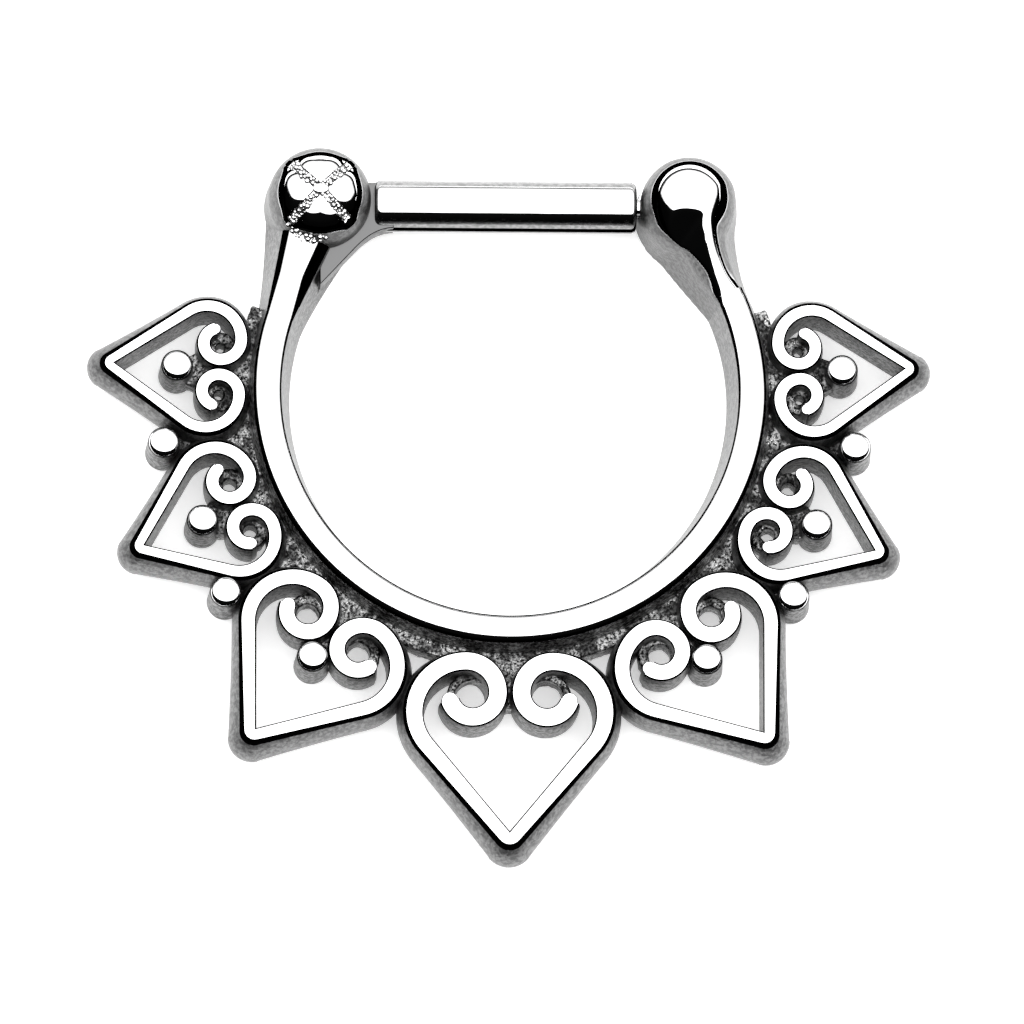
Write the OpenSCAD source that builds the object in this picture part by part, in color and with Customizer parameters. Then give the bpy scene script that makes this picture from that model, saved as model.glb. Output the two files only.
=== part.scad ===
// Septum clicker: one cast ring with seven scroll hearts, a straight bar hinged in its left ball, and the hinge pin.
// It lies on its back. +Z points out of the face, +Y from the hearts to the bar, +X from the hinge to the catch.
// Bearings are measured about the ring's centre from straight down (-Y) towards +X. Lengths are millimetres.

/* [Ring] */
// Radius of the opening at the ring's front face
ring_inner_r = 5.34; // [5:0.01:5.8]
// Width of the ring's front face with the bevels along it
face_w = 0.65; // [0.5:0.01:0.8]
// Depth of the ring from its back to its front face
ring_depth = 1.6; // [1.4:0.05:2]
// How far each side wall of the ring leans out from the face to the back
ring_draft = 0.22; // [0.1:0.01:0.3]
// Bevel along both edges of the ring's front face
face_bevel = 0.08; // [0.04:0.01:0.1]

/* [Balls and arms] */
// Clear length of the bar between the two balls
wear_length = 6.3; // [6:0.05:6.6]
// How far the gap between the balls lies off the ring's middle, towards the hinge
gap_shift = 0.09; // [0:0.01:0.12]
// Height of the hinge above the ring's centre, towards +Y
hinge_y = 4.66; // [4.5:0.01:4.8]
// Radius of the ball at the hinge
hinge_ball_r = 1.21; // [1.15:0.01:1.25]
// Radius of the ball at the catch
catch_ball_r = 1.15; // [1.1:0.01:1.2]
// Height of the balls from their flat backs to the tops of their domes
ball_height = 2.24; // [2.1:0.01:2.3]
// How much wider the balls are at their backs than across their domes, on each side
ball_flare = 0.07; // [0.03:0.01:0.09]
// Width of the hinge arm's flat face at its ball
hinge_face_w = 1.3; // [1.1:0.05:1.4]
// Width of the catch arm's crowned face at its ball
catch_face_w = 1.8; // [1.5:0.05:1.8]
// How far the edges of the catch arm's face drop below its middle
catch_crown = 0.3; // [0.1:0.01:0.35]
// How far the catch arm bows inwards halfway
catch_sway = 0.1; // [0:0.01:0.14]

/* [Hinge ball] */
// Width of the two grooves crossed on the hinge ball
groove_w = 0.24; // [0.15:0.01:0.3]
// Depth of the crossed grooves
groove_depth = 0.13; // [0.06:0.01:0.16]
// How far round the ball each groove runs to either side of the middle, in degrees
groove_reach = 54; // [40:1:60]

/* [Bar] */
// Diameter of the bar
bar_d = 1.2; // [1:0.05:1.25]
// How far the axis of the bar, and with it the catch, lies below the hinge
bar_drop = 0.1; // [0:0.01:0.15]
// Thickness of the tongue that the bar turns on
tongue_t = 0.6; // [0.5:0.01:0.64]
// Radius of the tongue's round end
tongue_r = 0.66; // [0.6:0.01:0.7]
// How far the tongue's heel reaches down the arm from the hinge
heel_reach = 2.05; // [1.8:0.05:2.2]
// Chamfer round the bar's ends
bar_chamfer = 0.1; // [0.06:0.01:0.12]
// Diameter of the nib on the bar's free end
nib_d = 0.4; // [0.3:0.02:0.5]
// How far the nib stands out of the bar's end
nib_len = 0.42; // [0.36:0.01:0.5]
// How far the bar swings open, in degrees
open_deg = 100; // [60:1:105]

/* [Fits] */
// Clearance on each side of the tongue in its slot, and round the nib in its groove
slot_gap = 0.03; // [0.02:0.01:0.06]
// Clearance between the bar's ends and the balls
end_gap = 0.08; // [0.07:0.01:0.12]
// Radial clearance of the hinge pin in the tongue
pin_play = 0.02; // [0.01:0.01:0.04]
// Radial clearance of the hinge pin in the two ears
pin_seat = 0.01; // [0.01:0.01:0.02]

/* [Hinge pin] */
// Diameter of the hinge pin
pin_d = 0.6; // [0.5:0.02:0.66]
// How deep the pin stands in the front ear
pin_grip = 0.6; // [0.4:0.05:0.7]

/* [Hearts] */
// Width of the middle heart across its lobes
heart_w = 4.83; // [4.5:0.01:5]
// Length of the middle heart from its lobes to its tip
heart_l = 4.6; // [4.3:0.01:5]
// Depth of the hearts from their backs to their faces
heart_depth = 1.3; // [1.1:0.05:1.4]
// Gap between the ring's outer edge and the hearts' lobes, at the face
heart_gap = 0.21; // [0.12:0.01:0.25]
// Width of the middle heart's strip round its lobes
strip_w = 0.39; // [0.32:0.01:0.42]
// Width of the middle heart's strip at its tip
tip_w = 0.22; // [0.16:0.01:0.28]
// How far below the face the hearts' outer walls stand out furthest
belly_drop = 0.58; // [0.4:0.01:0.8]
// How far the hearts' outer walls stand out there
belly_out = 0.25; // [0.15:0.01:0.3]
// How far they still stand out at the back
back_out = 0.12; // [0.05:0.01:0.15]
// How much further the walls stand out at the hearts' tips
tip_push = 0.1; // [0:0.01:0.15]
// How far the walls inside the hearts lean out from the face to the back
inner_draft = 0.04; // [0.02:0.01:0.06]

/* [Webs and beads] */
// Depth of the sunken web that joins ring, hearts and beads
web_depth = 0.8; // [0.6:0.05:1]
// Width of the web left along the ring's outer wall, measured at the face
web_band = 0.42; // [0.36:0.01:0.46]
// Diameter of the beads at the foot of their domes
bead_d = 0.74; // [0.6:0.01:0.8]
// How much wider the beads' posts are at the back, on each side
bead_draft = 0.05; // [0.02:0.01:0.08]
// Height of the beads' posts up to their domes
bead_post = 1.24; // [1.1:0.01:1.35]
// Height of the beads' domes
bead_dome = 0.2; // [0.12:0.01:0.28]
// Distance from a heart's lobes to the bead inside it
bead_inset = 1.6; // [1.5:0.01:1.7]
// Distance from the ring's outer edge to the beads that stand between two hearts
gap_bead_out = 2.18; // [2.1:0.01:2.25]

/* [Hidden] */
$fn = 64;
steel = "#c9ccd0";

// One row for each heart from the middle one round one side: its bearing, how far it leans from radial, its width
// and length as shares of the middle heart's, the share of each scroll's eye that is pierced, 1 if it holds a bead,
// and where the bead between it and the next heart stands, as a share of the way there, or 0 for none.
HEARTS = [
    [0, 0, 1, 1, 0.96, 0, 0],
    [35.7, 1.8, 0.863, 0.893, 0.7, 1, 0.59],
    [66.9, -0.9, 0.69, 0.73, 0.55, 1, 0.51],
    [95.1, -3.1, 0.653, 0.725, 0.4, 1, 0]
];
bearing = function(row) row[0];
lean = function(row) row[1];
width = function(row) heart_w * row[2];
length = function(row) heart_l * row[3];
strip = function(row) strip_w * row[2];
tip = function(row) tip_w * row[2];
pierced = function(row) row[4];
has_bead = function(row) row[5] == 1;
gap_share = function(row) row[6];

// The four arcs of a scroll, from the heart's side in to the scroll's eye: mean radius as a share of the heart's width
SCROLL = [0.25, 0.152, 0.122, 0.113];
// How far the last arc turns past the bottom of the scroll, in degrees
scroll_end = 74;
// Flats on each quarter turn of a scroll
scroll_steps = 6;

ring_outer_r = ring_inner_r + face_w;
ring_mid_r = ring_inner_r + face_w / 2;
seat_r = ring_outer_r + heart_gap;
gap_bead_r = ring_outer_r + gap_bead_out;
// Where the hinge and the catch stand, and the height of their domes' centres
hinge_at = [-(wear_length / 2 + hinge_ball_r + gap_shift), hinge_y];
catch_at = [wear_length / 2 + catch_ball_r - gap_shift, hinge_y - bar_drop];
hinge_ball_z = ball_height - hinge_ball_r;
catch_ball_z = ball_height - catch_ball_r;
span = catch_at[0] - hinge_at[0];
// The bearing at which an arm leaves the ring straight for its ball, and its length up to the ball's centre
function arm_bearing(ball) = 180 - atan2(abs(ball[0]), ball[1]) - acos(ring_mid_r / norm(ball));
function arm_len(ball) = sqrt(pow(norm(ball), 2) - pow(ring_mid_r, 2));
bar_z = ring_depth / 2;
slot_t = tongue_t + 2 * slot_gap;
pin_r = pin_d / 2;
// How far one solid is sunk into the next, or kept inside it, where two of one casting meet
lap = 0.02;
// Step between the backs, and between the tops, of the casting's parts, from the ring's back up: first the hearts,
// then the round ends of their tips and scrolls and the web round the ring, then the other webs, then the beads
step = 0.02;

// A point at a distance from the ring's centre on a bearing
function polar(r, b) = [r * sin(b), -r * cos(b)];
function unit(a) = [cos(a), sin(a)];

// The round end of the middle heart's tip, where its wall stands out furthest
low_y = -seat_r - heart_l - belly_out - tip_push;
// Moves the middle of the whole outline to the origin
to_origin = [0, -(hinge_y + hinge_ball_r + ball_flare + low_y) / 2, 0];

// Half a heart's strip as stations from the tip to the scroll's end. Each holds the middle of the strip, the angle of
// its outward normal, half its width, how far its outer wall stands out, and how much further it does so towards the
// tip. The lobes' tops lie on y = 0.
function half_heart(row) =
    let (
        w = width(row),
        s = strip(row),
        r = [for (share = SCROLL) share * w],
        c1 = [w / 2 - s / 2 - r[0], -s / 2 - r[0]],
        c2 = [c1[0], -s / 2 - r[1]],
        c3 = [c2[0] - r[1] + r[2], c2[1]],
        c4 = [c3[0], c3[1] - r[2] + r[3]],
        foot = [0, -length(row) + tip(row) / 2],
        run = c1 - foot,
        side = atan2(run[1], run[0]) + acos(r[0] / norm(run)) - 180,
        steps = scroll_steps
    )
    concat(
        [[foot, side, tip(row) / 2, belly_out, tip_push]],
        [for (i = [0:steps + 2])
            let (a = side + (90 - side) * i / (steps + 2))
            [c1 + r[0] * unit(a), a, s / 2 * (0.88 + 0.12 * i / (steps + 2)), belly_out, 0]],
        [for (i = [1:steps])
            let (a = 90 + 90 * i / steps)
            [c2 + r[1] * unit(a), a, s / 2, belly_out + (inner_draft - belly_out) * i / steps, 0]],
        [for (i = [1:steps])
            let (a = 180 + 90 * i / steps)
            [c3 + r[2] * unit(a), a, s / 2, inner_draft, 0]],
        [for (i = [1:steps])
            let (a = 270 + scroll_end * i / steps)
            [c4 + r[3] * unit(a), a, s / 2, inner_draft, 0]]
    );

// The five corners of the strip at a station, from the outer wall's foot over the face to the inner wall's foot
function strip_corners(st) =
    let (u = unit(st[1]), outer = st[0] + st[2] * u, inner = st[0] - st[2] * u)
    [
        [each (outer + st[3] * back_out / belly_out * u), step],
        [each (outer + st[3] * u - [0, st[4]]), heart_depth - belly_drop],
        [each outer, heart_depth],
        [each inner, heart_depth],
        [each (inner - inner_draft * u), step]
    ];

// A closed solid through a row of sections that all have the same number of corners
module loft(sections) {
    n = len(sections[0]);
    last = len(sections) - 1;
    polyhedron(
        points = [for (s = sections) each s],
        faces = concat(
            [[for (k = [n - 1:-1:0]) k]],
            [[for (k = [0:n - 1]) last * n + k]],
            [for (i = [0:last - 1]) for (k = [0:n - 1])
                let (a = i * n + k, b = i * n + (k + 1) % n)
                [a, b, b + n, a + n]]
        )
    );
}

// One level of the round tip, as corners round a point on the heart's axis
function tip_ring(y, r, z) = [for (i = [0:23]) [r * cos(15 * i), y + r * sin(15 * i), z]];

// The round tip, from the face down over its belly to the back
module heart_tip(row) {
    r = tip(row) / 2;
    y = r - length(row);
    loft([
        tip_ring(y, r - lap / 2, heart_depth - step / 2),
        tip_ring(y - tip_push, r + belly_out, heart_depth - belly_drop),
        tip_ring(y, r + back_out - lap, 2 * step)
    ]);
}

// Half a heart: its strip, and the round end of its scroll
module heart_half(row) {
    stations = half_heart(row);
    end = stations[len(stations) - 1];
    loft([for (st = stations) strip_corners(st)]);
    translate([each end[0], 2 * step])
        cylinder(h = heart_depth - 3 * step, r1 = end[2] + inner_draft - lap, r2 = end[2] - lap);
}

// A domed bead on its post
module bead() {
    r = bead_d / 2;
    dome_steps = 4;
    rotate_extrude()
        polygon(concat(
            [[0, 4 * step], [r + bead_draft, 4 * step]],
            [for (i = [0:dome_steps - 1])
                let (a = 90 * i / dome_steps)
                [r * cos(a), bead_post + bead_dome * sin(a)]],
            [[0, bead_post + bead_dome]]
        ));
}

// The middle of a scroll's eye, on the heart's +X side
function eye(row) = [
    width(row) / 2 - strip(row) / 2 - (SCROLL[0] + SCROLL[1] - SCROLL[2]) * width(row),
    -strip(row) / 2 - SCROLL[1] * width(row)
];

// The sunken web inside a heart: a plate under each scroll, pierced in its eye, and a saddle that carries the bead
module heart_web(row) {
    e = eye(row);
    plate_r = SCROLL[2] * width(row);
    hole_r = (plate_r - strip(row) / 2 - inner_draft) * pierced(row);
    bead_y = has_bead(row) ? -bead_inset : e[1] - plate_r / 2;
    translate([0, 0, 3 * step])
        linear_extrude(web_depth - 4 * step)
            difference() {
                union() {
                    for (side = [-1, 1]) {
                        translate([side * e[0], e[1]])
                            circle(r = plate_r);
                    }
                    polygon([
                        [-e[0], -lap], [e[0], -lap], [e[0], e[1] - plate_r / 2],
                        [bead_d / 3, bead_y], [-bead_d / 3, bead_y], [-e[0], e[1] - plate_r / 2]
                    ]);
                }
                for (side = [-1, 1]) {
                    translate([side * e[0], e[1]])
                        circle(r = hole_r);
                }
            }
}

// One heart with its tip, its web and its bead, placed on the ring
module heart(row) {
    rotate([0, 0, bearing(row)])
        translate([0, -seat_r, 0])
            rotate([0, 0, lean(row)]) {
                heart_half(row);
                mirror([1, 0, 0])
                    heart_half(row);
                heart_tip(row);
                heart_web(row);
                if (has_bead(row)) {
                    translate([0, -bead_inset, 0])
                        bead();
                }
            }
}

// The bead between two hearts, on a strip of web that runs out to it from the ring
module gap_bead(row, next) {
    b = bearing(row) + (bearing(next) - bearing(row)) * gap_share(row);
    rotate([0, 0, b]) {
        translate([0, -gap_bead_r, 0])
            bead();
        translate([0, 0, 3 * step])
            linear_extrude(web_depth - 5 * step)
                polygon([
                    [-bead_d / 2, -ring_outer_r], [bead_d / 2, -ring_outer_r],
                    [bead_d / 3, -gap_bead_r], [-bead_d / 3, -gap_bead_r]
                ]);
    }
}

// The ring's section: radius first, height second, from the inner foot over the face to the outer foot
function ring_section(inner, outer, bevel, draft) = [
    [inner - draft, 0],
    [inner, ring_depth - bevel],
    [inner + bevel, ring_depth],
    [outer - bevel, ring_depth],
    [outer, ring_depth - bevel],
    [outer + draft, 0]
];

// The open ring between the two arms, with the web along its outer wall
module band() {
    last = HEARTS[len(HEARTS) - 1];
    web_end = bearing(last) + asin(width(last) / 2 / seat_r);
    start = arm_bearing(hinge_at);
    rotate_extrude(angle = start + arm_bearing(catch_at), start = -90 - start)
        polygon(ring_section(ring_inner_r, ring_outer_r, face_bevel, ring_draft));
    rotate_extrude(angle = 2 * web_end, start = -90 - web_end)
        translate([ring_mid_r, 2 * step])
            square([face_w / 2 + web_band, web_depth - 2 * step]);
}

// Half of an arm's section, from the middle of its back over its wall to the middle of its face. One row for each
// point: how far out it lies as shares of half the back's width and half the face's, its height as a share of the
// arm's, and how much of the face's crown it drops by.
ARM_SECTION = [
    [0, 0, 0, 0],
    [0.95, 0, 0, 0],
    [1, 0, 0.05, 0],
    [0.52, 0.5, 0.5, 0.3],
    [0.08, 0.93, 0.86, 0.8],
    [0, 0.97, 0.95, 1],
    [0, 0.84, 1, 0.75],
    [0, 0.45, 1, 0.2],
    [0, 0, 1, 0]
];
arm_steps = 10;

// The points round an arm's section, as [outwards from the middle, height]
function arm_section(back_w, face_w, height, crown) =
    let (half = [for (p = ARM_SECTION)
        [(p[0] * back_w + p[1] * face_w) / 2 - lap, lap + p[2] * (height - 2 * lap) - p[3] * crown]])
    concat(
        [[0, lap]],
        [for (i = [1:len(half) - 2]) half[i]],
        [[0, height - lap]],
        [for (i = [len(half) - 2:-1:1]) [-half[i][0], half[i][1]]]
    );

// An arm on the +X side, from inside the ring's end to inside its ball: the width of its face at the ball and the power
// by which it widens, how far its middle climbs, how far its face's edges drop, and how far it bows inwards
module arm(ball, ball_r, ball_face_w, swell, rise, crown, sway) {
    bearing = arm_bearing(ball);
    length = arm_len(ball);
    foot = polar(ring_mid_r, bearing);
    along = unit(bearing);
    out = polar(1, bearing);
    root = -0.3;
    back_w = face_w + 2 * ring_draft;
    loft([for (i = [0:arm_steps])
        let (
            run = root + (0.9 * length - root) * i / arm_steps,
            t = max(run / length, 0),
            middle = foot + run * along - 4 * t * (1 - t) * sway * out
        )
        [for (p = arm_section(
                back_w + (2 * (ball_r + ball_flare) - back_w) * t,
                face_w + (ball_face_w - face_w) * pow(t, swell),
                ring_depth + rise * pow(t, 1.4),
                crown * sin(90 * t)))
            [each (middle + p[0] * out), p[1]]]]);
}

// A ball with a flat back: a dome on a foot that widens to the back
module ball(at, r) {
    z = ball_height - r;
    translate([each at, 0])
        rotate_extrude() {
            intersection() {
                translate([0, z])
                    circle(r = r);
                translate([0, z])
                    square([r, r]);
            }
            polygon([[0, 0], [r + ball_flare - 0.05, 0], [r + ball_flare, 0.05], [r, z], [0, z]]);
        }
}

// The straight edges of the tongue's stem above and below the hinge, inside the bar
stem_top = sqrt(pow(bar_d / 2, 2) - pow(tongue_t / 2, 2)) - bar_drop - lap;
stem_low = -bar_drop - bar_d / 2 + lap;
// The bar's two ends, measured from the hinge
bar_start = hinge_ball_r + end_gap;
bar_end = span - catch_ball_r - end_gap;
nib_end = bar_end + nib_len;

// Moves what turns on the hinge from the hinge's own axis to its place on the ring
module at_hinge() {
    translate([each hinge_at, 0])
        children();
}

// The room that the tongue needs between the ears, from closed to fully open
module tongue_slot() {
    reach = heel_reach + 0.2;
    translate([0, 0, bar_z - slot_t / 2])
        linear_extrude(slot_t) {
            circle(r = tongue_r + slot_gap);
            polygon([[0, 0], for (a = [-90:10:open_deg]) reach * unit(a), reach * unit(open_deg)]);
            translate([-slot_gap, -reach])
                square([0.5 * tongue_r, reach]);
            rotate([0, 0, open_deg])
                translate([0, -slot_gap])
                    square([reach, stem_top + 2 * slot_gap]);
        }
}

// The room that the nib needs in the catch ball, from closed until it is free of the ball
module nib_groove() {
    half = nib_d / 2 + slot_gap;
    low = -asin((bar_drop + half) / nib_end);
    free = acos((pow(nib_end, 2) + pow(span, 2) - pow(catch_ball_r + ball_flare, 2)) / (2 * nib_end * span));
    rotate_extrude(angle = free + 4 - low, start = low)
        translate([bar_end - end_gap, bar_z - half])
            square([nib_len + end_gap + 2 * slot_gap, 2 * half]);
}

// The two grooves crossed on the front of the hinge ball
module crossed_grooves() {
    translate([0, 0, hinge_ball_z])
        for (side = [-45, 45]) {
            rotate([90, 0, side])
                rotate_extrude(angle = 2 * groove_reach, start = 90 - groove_reach)
                    translate([hinge_ball_r - groove_depth, -groove_w / 2])
                        square([2 * groove_depth, groove_w]);
        }
}

module cast_frame() {
    color(steel)
        translate(to_origin)
            difference() {
                union() {
                    band();
                    for (row = HEARTS) {
                        heart(row);
                        if (bearing(row) > 0) {
                            mirror([1, 0, 0])
                                heart(row);
                        }
                    }
                    for (i = [0:len(HEARTS) - 2]) {
                        if (gap_share(HEARTS[i]) > 0) {
                            gap_bead(HEARTS[i], HEARTS[i + 1]);
                            mirror([1, 0, 0])
                                gap_bead(HEARTS[i], HEARTS[i + 1]);
                        }
                    }
                    arm(catch_at, catch_ball_r, catch_face_w, 2, ball_height - ring_depth, catch_crown, catch_sway);
                    mirror([1, 0, 0])
                        arm(hinge_at, hinge_ball_r, hinge_face_w, 1, 0, 0, 0);
                    ball(catch_at, catch_ball_r);
                    ball(hinge_at, hinge_ball_r);
                }
                at_hinge() {
                    tongue_slot();
                    nib_groove();
                    crossed_grooves();
                    translate([0, 0, -1])
                        cylinder(h = 1 + bar_z + slot_t / 2 + pin_grip, r = pin_r + pin_seat);
                }
            }
}

// Points on a curve from one point to another, drawn towards a third
function curve(from, towards, to, steps) =
    [for (i = [0:steps])
        let (t = i / steps)
        pow(1 - t, 2) * from + 2 * t * (1 - t) * towards + t * t * to];

// The bar's tongue: a round end on the pin, a stem into the bar, and a heel that closes the slot down the arm
module tongue() {
    corner = [bar_start, stem_low];
    heel = [lap, -heel_reach];
    translate([0, 0, bar_z - tongue_t / 2])
        linear_extrude(tongue_t) {
            circle(r = tongue_r);
            polygon(concat(
                [[0, 0], heel],
                curve(corner + 0.35 * (heel - corner), corner, corner + [0.45, 0], 5),
                [[bar_start + 0.45, stem_top], [0, stem_top]]
            ));
        }
}

module bar() {
    r = bar_d / 2;
    color(steel)
        translate(to_origin)
            at_hinge()
                difference() {
                    union() {
                        translate([bar_start, -bar_drop, bar_z])
                            rotate([0, 90, 0])
                                rotate_extrude()
                                    polygon([
                                        [0, 0], [r - bar_chamfer, 0], [r, bar_chamfer],
                                        [r, bar_end - bar_start - bar_chamfer], [r - bar_chamfer, bar_end - bar_start],
                                        [nib_d / 2, bar_end - bar_start], [nib_d / 2, nib_end - bar_start],
                                        [0, nib_end - bar_start]
                                    ]);
                        tongue();
                    }
                    cylinder(h = ring_depth, r = pin_r + pin_play);
                }
}

// The pin stands in a blind hole in the front ear and ends flush with the back of the rear one
module hinge_pin() {
    head = bar_z + slot_t / 2 + pin_grip - lap;
    color(steel)
        translate(to_origin)
            at_hinge()
                cylinder(h = head, r = pin_r);
}

cast_frame();
bar();
hinge_pin();
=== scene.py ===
# %% [markdown]
# A septum ring that lies on a pale table
#
# The jewel is a hinged ring of surgical steel. One casting holds the ring, its two arms, a ball at each end, seven
# open hearts of curled strip, and small beads. A straight bar turns on a pin in the left ball and clicks into the
# right one. The casting was tumbled and then polished on its raised faces only, so mirror faces stand over sunken
# webs that keep the grain of the mould. We rebuild every surface finely enough for a mirror, because a mirror shows
# each flat of a coarse mesh, and we let the materials tell polished metal from raw metal.

# %% Load the measured frame
import math
from collections import namedtuple
import bpy
import bmesh
import numpy as np
from mathutils import Vector, Matrix


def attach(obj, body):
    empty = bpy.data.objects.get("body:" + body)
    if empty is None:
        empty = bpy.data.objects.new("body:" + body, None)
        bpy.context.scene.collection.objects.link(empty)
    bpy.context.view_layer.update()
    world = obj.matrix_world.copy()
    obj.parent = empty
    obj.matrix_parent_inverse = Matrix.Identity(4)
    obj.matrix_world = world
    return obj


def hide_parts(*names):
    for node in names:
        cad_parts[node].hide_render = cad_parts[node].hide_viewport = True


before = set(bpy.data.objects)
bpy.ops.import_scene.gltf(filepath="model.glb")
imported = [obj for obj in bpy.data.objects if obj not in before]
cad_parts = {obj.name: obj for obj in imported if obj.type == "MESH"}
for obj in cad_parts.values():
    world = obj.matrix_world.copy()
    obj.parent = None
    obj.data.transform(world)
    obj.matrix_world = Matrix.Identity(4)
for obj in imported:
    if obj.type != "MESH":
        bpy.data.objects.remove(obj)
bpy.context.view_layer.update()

# %% [markdown]
# Sizes
#
# Everything is thought out in millimetres round the ring's own centre, with bearings counted from straight down
# towards the catch, as a goldsmith would mark it out. One function turns such points into metres in the shared
# frame. The same few sizes drive every piece.

# %% Name the sizes
ring_inner, ring_face, ring_depth, ring_draft = 5.34, 0.65, 1.6, 0.22
ring_outer, ring_mid = ring_inner + ring_face, ring_inner + ring_face / 2
ring_back = ring_face + 2 * ring_draft
# the ring's centre stands this far above the middle of the whole outline
middle_y = 2.605

# the balls, the places of their centres, and the faces of the arms that reach them
ball_height, ball_flare = 2.24, 0.07
hinge, hinge_ball, hinge_face = np.array([-4.45, 4.66]), 1.21, 1.3
catch, catch_ball, catch_face, catch_crown, catch_sway = np.array([4.21, 4.56]), 1.15, 1.8, 0.3, 0.1

# one full-size heart: its outline, its strip, the belly of its outer wall, and where it sits
heart_wide, heart_long, heart_depth, strip_wide, tip_wide = 4.83, 4.6, 1.3, 0.39, 0.26
belly_drop, belly_root, belly_out, belly_tip, tip_push = 0.58, 0.09, 0.19, 0.29, 0.1
inner_draft, seat, step = 0.04, ring_outer + 0.21, 0.02
# radii of the strip's four arcs as shares of the heart's width, and how far the last one turns
scroll, scroll_end = [0.25, 0.152, 0.122, 0.113], 74
Heart = namedtuple("Heart", "bearing lean wide long pierced holds_bead next_bead")
hearts = [
    Heart(0, 0, 1, 1, 0.96, False, 0),
    Heart(35.7, 1.8, 0.863, 0.893, 0.7, True, 0.59),
    Heart(66.9, -0.9, 0.69, 0.73, 0.55, True, 0.51),
    Heart(95.1, -3.1, 0.653, 0.725, 0.4, True, 0),
]


def unit(degrees):
    return np.array([math.cos(math.radians(degrees)), math.sin(math.radians(degrees))])


def polar(radius, bearing):
    return radius * unit(bearing - 90)


def clamp(value):
    return min(max(value, 0), 1)


def ease(share):
    """From 0 to 1 with a soft start and a soft end."""
    return share * share * (3 - 2 * share)


def arm_bearing(ball):
    reach = np.linalg.norm(ball)
    return 180 - math.degrees(math.atan2(abs(ball[0]), ball[1])) - math.degrees(math.acos(ring_mid / reach))


def arm_axes(ball):
    """Where an arm leaves the ring, its direction, the direction away from the ring, and its length."""
    bearing = arm_bearing(ball)
    length = math.sqrt(np.linalg.norm(ball) ** 2 - ring_mid ** 2)
    return polar(ring_mid, bearing), unit(bearing), polar(1, bearing), length


print("arms leave the ring at", round(arm_bearing(hinge), 1), "and", round(arm_bearing(catch), 1), "degrees")

# %% [markdown]
# Meshes from sections
#
# Nearly every surface here is a section carried along a path: the ring, an arm, the strip of a heart. So the main
# tool is a loft, which joins a row of closed outlines and closes both ends. Then doubled points are merged and the
# normals are turned outwards, because a mirror with a flipped face turns black.

# %% Make the mesh helpers
def add_object(name, points, edges, faces):
    mesh = bpy.data.meshes.new(name)
    mesh.from_pydata([(x / 1000, (y + middle_y) / 1000, z / 1000) for x, y, z in points], edges, faces)
    piece = bpy.data.objects.new(name, mesh)
    bpy.context.collection.objects.link(piece)
    return piece


def mark_pits(mesh, shares):
    """Notes point by point where a wall kept the pits of its mould, for the material to read."""
    mesh.attributes.new("pitted", "FLOAT", "POINT").data.foreach_set("value", shares)


def settle(mesh, sharp=32):
    """Merges doubled points, turns the faces outwards and shades smooth up to an angle."""
    work = bmesh.new()
    work.from_mesh(mesh)
    bmesh.ops.remove_doubles(work, verts=work.verts, dist=1e-7)
    bmesh.ops.dissolve_degenerate(work, edges=work.edges, dist=1e-7)
    bmesh.ops.recalc_face_normals(work, faces=work.faces)
    work.to_mesh(mesh)
    work.free()
    mesh.shade_smooth()
    mesh.set_sharp_from_angle(angle=math.radians(sharp))


def make_piece(name, points, faces, sharp=32, pitted=None):
    """A closed piece from points in millimetres."""
    piece = add_object(name, points, [], faces)
    if pitted is not None:
        mark_pits(piece.data, pitted)
    settle(piece.data, sharp)
    return piece


def loft(sections):
    count, rows = len(sections[0]), len(sections)
    points = [tuple(p) for section in sections for p in section]
    faces = [(i * count + k, i * count + (k + 1) % count, (i + 1) * count + (k + 1) % count, (i + 1) * count + k)
             for i in range(rows - 1) for k in range(count)]
    faces.append(tuple(range(count - 1, -1, -1)))
    faces.append(tuple((rows - 1) * count + k for k in range(count)))
    return points, faces


def revolve(profile, steps):
    """Turns a profile of (radius, height) round a vertical axis. It starts and ends on the axis."""
    inner = profile[1:-1]
    points = [(0, 0, profile[0][1]), (0, 0, profile[-1][1])]
    for i in range(steps):
        c, s = math.cos(2 * math.pi * i / steps), math.sin(2 * math.pi * i / steps)
        points += [(r * c, r * s, z) for r, z in inner]
    n = len(inner)
    faces = []
    for i in range(steps):
        a, b = 2 + i * n, 2 + (i + 1) % steps * n
        faces += [(0, b, a), (1, a + n - 1, b + n - 1)]
        faces += [(a + k, b + k, b + k + 1, a + k + 1) for k in range(n - 1)]
    return points, faces


def prism(outline, low, high):
    return loft([[(x, y, z) for x, y in outline] for z in (low, high)])


def moved(made, at=(0, 0), turn=0):
    """The same points turned about the vertical and then moved."""
    c, s = math.cos(math.radians(turn)), math.sin(math.radians(turn))
    return [(x * c - y * s + at[0], x * s + y * c + at[1], z) for x, y, z in made[0]], made[1]


def joined(many):
    points, faces = [], []
    for more, extra in many:
        faces += [tuple(k + len(points) for k in f) for f in extra]
        points += list(more)
    return points, faces


def freeze(piece, sharp=32):
    """Turns the live modifiers into a plain mesh."""
    graph = bpy.context.evaluated_depsgraph_get()
    mesh = bpy.data.meshes.new_from_object(piece.evaluated_get(graph))
    piece.modifiers.clear()
    old = piece.data
    piece.data = mesh
    mesh.name = old.name
    bpy.data.meshes.remove(old)
    settle(mesh, sharp)
    return piece


def cut(piece, cutters, sharp=32, overlaps=False):
    """Takes the cutters out of a piece, whose own parts may overlap."""
    for cutter in cutters:
        carve = piece.modifiers.new("carve", "BOOLEAN")
        carve.operation, carve.solver, carve.use_self, carve.object = "DIFFERENCE", "EXACT", overlaps, cutter
    freeze(piece, sharp)
    for cutter in cutters:
        bpy.data.objects.remove(cutter)
    return piece


def triangles(piece):
    piece.data.calc_loop_triangles()
    return len(piece.data.loop_triangles)


print("mesh helpers ready")

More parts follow.
